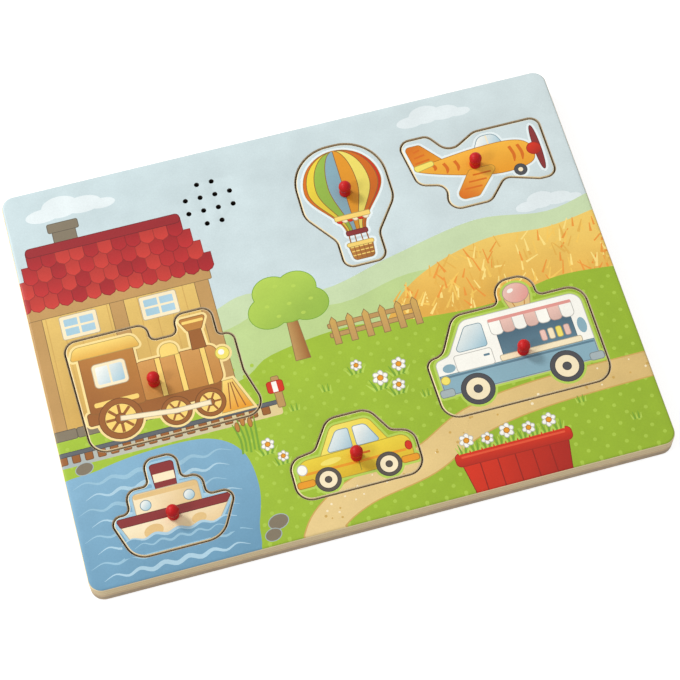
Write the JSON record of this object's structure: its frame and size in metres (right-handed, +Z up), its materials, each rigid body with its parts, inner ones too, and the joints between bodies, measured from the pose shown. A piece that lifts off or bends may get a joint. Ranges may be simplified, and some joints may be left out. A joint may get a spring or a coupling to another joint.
{
  "type": "sound puzzle",
  "caption": "Flat wooden sound puzzle: lift-out pieces with red knobs lie in a printed board over light sensors, with a speaker, sound board and screwed battery door inside.",
  "frame": {"origin": "middle of the board's underside, on the surface it lies on", "axes": "+X along the board's length, +Y towards the upper edge of its picture, +Z up out of the printed face"},
  "size_m": [0.3, 0.226, 0.0245],
  "materials": {
    "face_plywood": "printed and varnished plywood, satin",
    "core_fibreboard": "fibreboard, matt, bare edge",
    "panel_hardboard": "hardboard, matt",
    "piece_plywood": "printed and varnished plywood, satin",
    "knob_red": "turned wood, red gloss lacquer",
    "steel": "zinc-plated steel",
    "speaker_steel": "pressed steel",
    "magnet_iron": "plated iron",
    "copper": "enamelled wire",
    "cone_film": "pressed film, matt",
    "terminal_board": "phenolic board",
    "circuit_green": "solder mask, satin",
    "chip_resin": "potting resin",
    "capacitor_resin": "moulded resin",
    "resistor_ceramic": "ceramic chip",
    "box_plastic": "moulded plastic, matt",
    "door_plastic": "moulded plastic, fine texture",
    "cell_sleeve": "plain sleeve",
    "contact_nickel": "nickel-plated spring steel",
    "sensor_resin": "resin-coated ceramic disc",
    "sensor_lead": "insulated lead",
    "power_lead": "insulated lead"
  },
  "bodies": {
    "board": {"face_board": "face_plywood", "core_board": "core_fibreboard", "back_panel": "panel_hardboard", "panel_screws": "steel", "speaker_frame": "speaker_steel", "speaker_magnet": "magnet_iron", "voice_coil": "copper", "speaker_cone": "cone_film", "speaker_dust_cap": "cone_film", "speaker_terminal": "terminal_board", "circuit_board": "circuit_green", "sound_chip": "chip_resin", "capacitor": "capacitor_resin", "resistors": "resistor_ceramic", "board_screws": "steel", "battery_box": "box_plastic", "battery_1": "cell_sleeve", "battery_2": "cell_sleeve", "contact_bridge": "contact_nickel", "contact_plus": "contact_nickel", "contact_minus": "contact_nickel", "contact_springs": "contact_nickel", "sensor_leads": "sensor_lead", "speaker_leads": "power_lead", "battery_leads": "power_lead", "sensor_train": "sensor_resin", "sensor_van": "sensor_resin", "sensor_plane": "sensor_resin", "sensor_balloon": "sensor_resin", "sensor_car": "sensor_resin", "sensor_boat": "sensor_resin"},
    "piece_train": {"piece_train": "piece_plywood", "knob_train": "knob_red"},
    "piece_van": {"piece_van": "piece_plywood", "knob_van": "knob_red"},
    "piece_plane": {"piece_plane": "piece_plywood", "knob_plane": "knob_red"},
    "piece_balloon": {"piece_balloon": "piece_plywood", "knob_balloon": "knob_red"},
    "piece_car": {"piece_car": "piece_plywood", "knob_car": "knob_red"},
    "piece_boat": {"piece_boat": "piece_plywood", "knob_boat": "knob_red"},
    "battery_door": {"battery_door": "door_plastic"},
    "door_screw": {"door_screw": "steel"}
  },
  "joints": [
    {"name": "train_lift", "type": "slide", "parent": "board", "child": "piece_train", "axis": [0, 0, 1], "range_m": [0, 0.04]},
    {"name": "van_lift", "type": "slide", "parent": "board", "child": "piece_van", "axis": [0, 0, 1], "range_m": [0, 0.04]},
    {"name": "plane_lift", "type": "slide", "parent": "board", "child": "piece_plane", "axis": [0, 0, 1], "range_m": [0, 0.04]},
    {"name": "balloon_lift", "type": "slide", "parent": "board", "child": "piece_balloon", "axis": [0, 0, 1], "range_m": [0, 0.04]},
    {"name": "car_lift", "type": "slide", "parent": "board", "child": "piece_car", "axis": [0, 0, 1], "range_m": [0, 0.04]},
    {"name": "boat_lift", "type": "slide", "parent": "board", "child": "piece_boat", "axis": [0, 0, 1], "range_m": [0, 0.04]},
    {"name": "door_tilt", "type": "hinge", "parent": "board", "child": "battery_door", "pos_m": [0.12695, -0.088, 0.0011], "axis": [0, -1, 0], "range_deg": [0, 40]},
    {"name": "door_screw_turn", "type": "hinge", "parent": "battery_door", "child": "door_screw", "pos_m": [0.06945, -0.088, 0.003], "axis": [0, 0, -1], "continuous": true}
  ]
}
